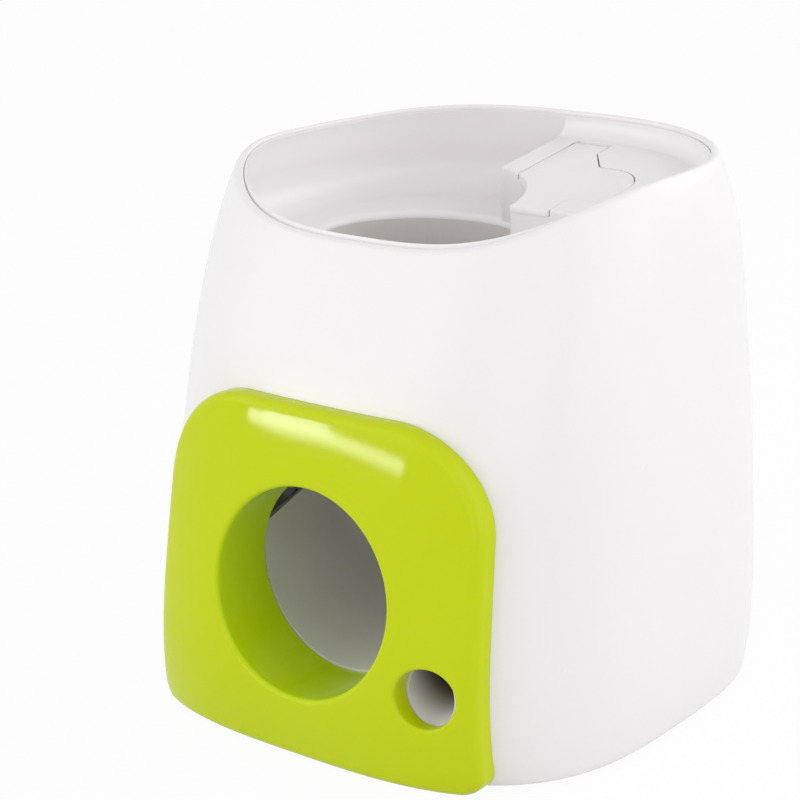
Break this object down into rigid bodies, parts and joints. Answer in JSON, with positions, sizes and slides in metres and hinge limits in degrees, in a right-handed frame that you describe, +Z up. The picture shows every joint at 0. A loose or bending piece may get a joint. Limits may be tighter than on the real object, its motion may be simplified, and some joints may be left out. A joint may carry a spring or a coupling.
{
  "type": "drop-in ball dispenser",
  "caption": "Rounded white housing with a dish and ball hole on top, a leaning green front with a ball exit and a treat outlet, a hinged hopper lid and a trip lever inside.",
  "frame": {"origin": "on the ground plane under the middle of the whole part's box", "axes": "+Z up, the front with the ball exit faces -Y, +X to the right seen from the front"},
  "size_m": [0.1892, 0.1948, 0.1956],
  "materials": {
    "shell_white": "polished moulding",
    "panel_green": "polished moulding",
    "inner_white": "fine satin moulding",
    "drum_grey": "satin acetal",
    "steel": "zinc plated",
    "rubber": "moulded rubber"
  },
  "bodies": {
    "housing": {"outer_shell": "shell_white", "funnel_tray": "shell_white", "hopper_deck": "shell_white", "front_panel": "panel_green", "base_screws": "steel", "panel_screws": "steel", "tray_screws": "steel", "hopper_screws": "steel", "ramp_screws": "steel", "housing_screws": "steel", "rubber_feet": "rubber", "stop_bumper": "rubber", "base_cover": "inner_white", "drop_tube": "inner_white", "ball_ramp": "inner_white", "treat_hopper": "inner_white", "drum_housing": "inner_white", "treat_chute": "inner_white", "shaft_bushes": "drum_grey"},
    "lid": {"hopper_lid": "shell_white", "lid_hinge_pin": "steel"},
    "trip": {"trip_shaft": "steel", "treat_drum": "drum_grey", "trip_paddle": "drum_grey", "weight_arm": "drum_grey", "counterweight": "steel", "shaft_clips": "steel"}
  },
  "joints": [
    {"name": "lid_hinge", "type": "hinge", "parent": "housing", "child": "lid", "pos_m": [0.01175, 0.0642, 0.18292], "axis": [-1, 0, 0], "range_deg": [0, 95]},
    {"name": "trip_turn", "type": "hinge", "parent": "housing", "child": "trip", "pos_m": [0.02, 0.0442, 0.1165], "axis": [1, 0, 0], "range_deg": [0, 80]}
  ]
}
